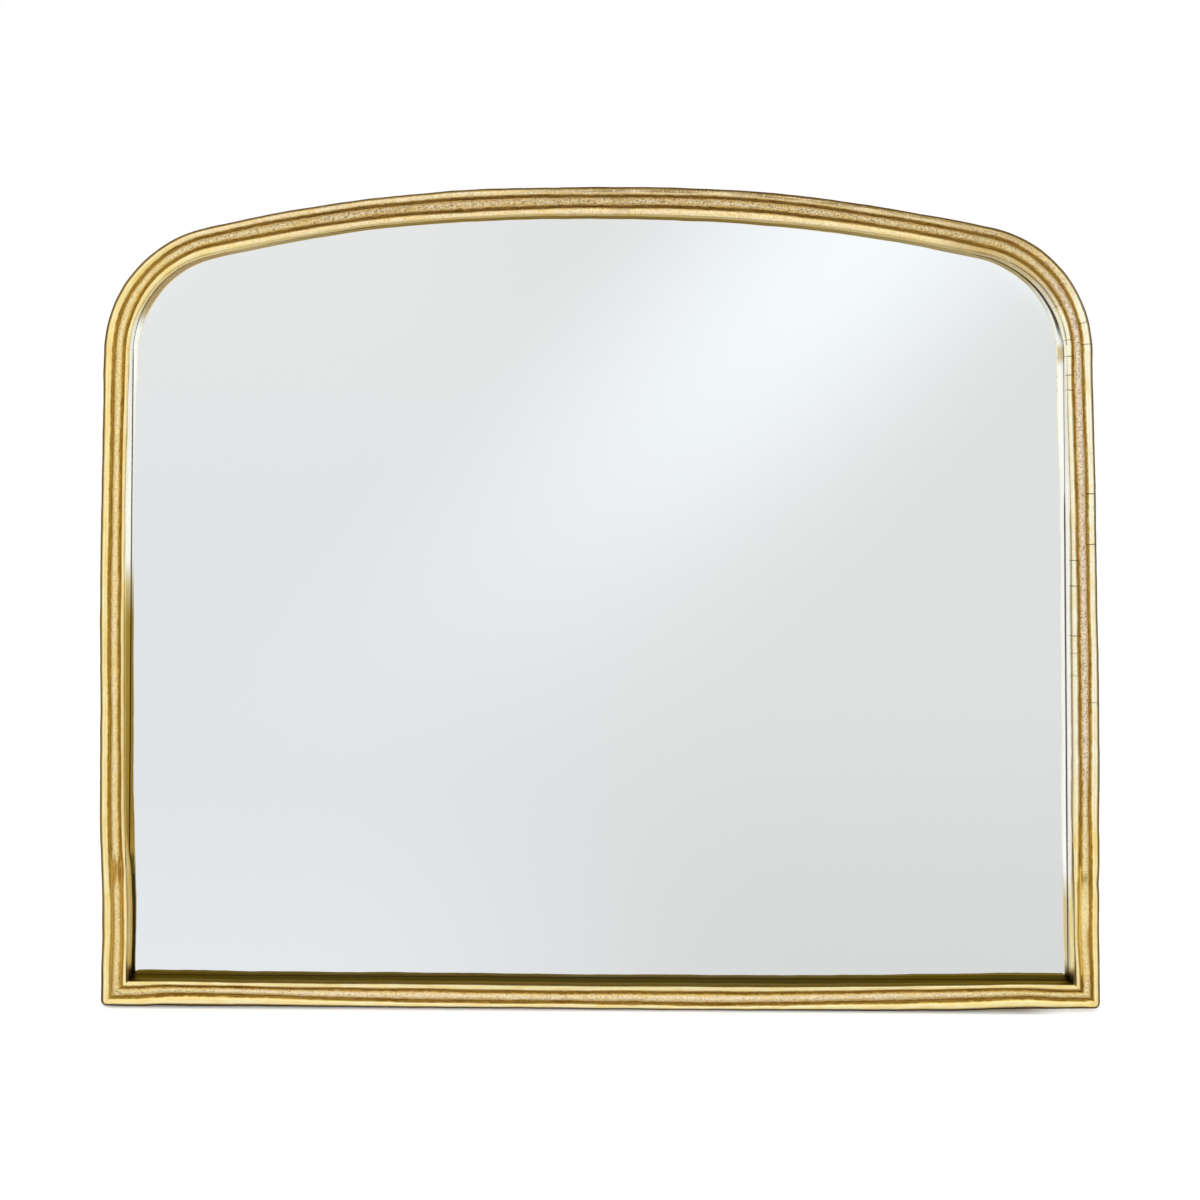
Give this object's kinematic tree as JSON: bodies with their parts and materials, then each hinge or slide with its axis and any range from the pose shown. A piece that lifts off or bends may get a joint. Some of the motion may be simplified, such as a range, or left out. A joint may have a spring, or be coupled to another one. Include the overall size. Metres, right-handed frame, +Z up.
{
  "type": "arched wall mirror",
  "caption": "Arched overmantel wall mirror: silvered glass in a reeded cast frame with an antique brass finish, hung by folding D-rings on its back.",
  "frame": {"origin": "mid-width and mid-depth of the mirror, level with the underside of the foot rail", "axes": "+X to the viewer's right, +Y from the viewer to the wall behind, +Z up"},
  "size_m": [1.1, 0.037, 0.91],
  "materials": {
    "cast_frame": "sand-cast metal with an aged antique brass finish, rubbed bright on the reeds and dark in the grooves",
    "weld_metal": "bare weld, not dressed",
    "foam_tape": "closed-cell foam tape",
    "silvered_glass": "clear float glass, silvered and painted on the back",
    "black_rubber": "matt moulded rubber",
    "painted_board": "fibreboard painted matt black",
    "screw_steel": "zinc-plated pan-head screws",
    "zinc_steel": "zinc-plated pressed steel and wire"
  },
  "bodies": {
    "mirror": {"left_arch_casting": "cast_frame", "right_arch_casting": "cast_frame", "left_leg_casting": "cast_frame", "right_leg_casting": "cast_frame", "foot_rail_casting": "cast_frame", "joint_welds": "weld_metal", "glazing_tape": "foam_tape", "mirror_glass": "silvered_glass", "glass_setting_blocks": "black_rubber", "glass_side_spacers": "black_rubber", "backing_board": "painted_board", "backing_screws": "screw_steel", "left_hanger_strap": "zinc_steel", "right_hanger_strap": "zinc_steel", "hanger_screws": "screw_steel", "left_wall_bumper": "black_rubber", "right_wall_bumper": "black_rubber"},
    "left_ring": {"left_hanger_ring": "zinc_steel"},
    "right_ring": {"right_hanger_ring": "zinc_steel"}
  },
  "joints": [
    {"name": "left_ring_swing", "type": "hinge", "parent": "mirror", "child": "left_ring", "pos_m": [-0.538, 0.0143, 0.65554], "axis": [1, 0, 0], "range_deg": [0, 175]},
    {"name": "right_ring_swing", "type": "hinge", "parent": "mirror", "child": "right_ring", "pos_m": [0.538, 0.0143, 0.65554], "axis": [1, 0, 0], "range_deg": [0, 175]}
  ]
}
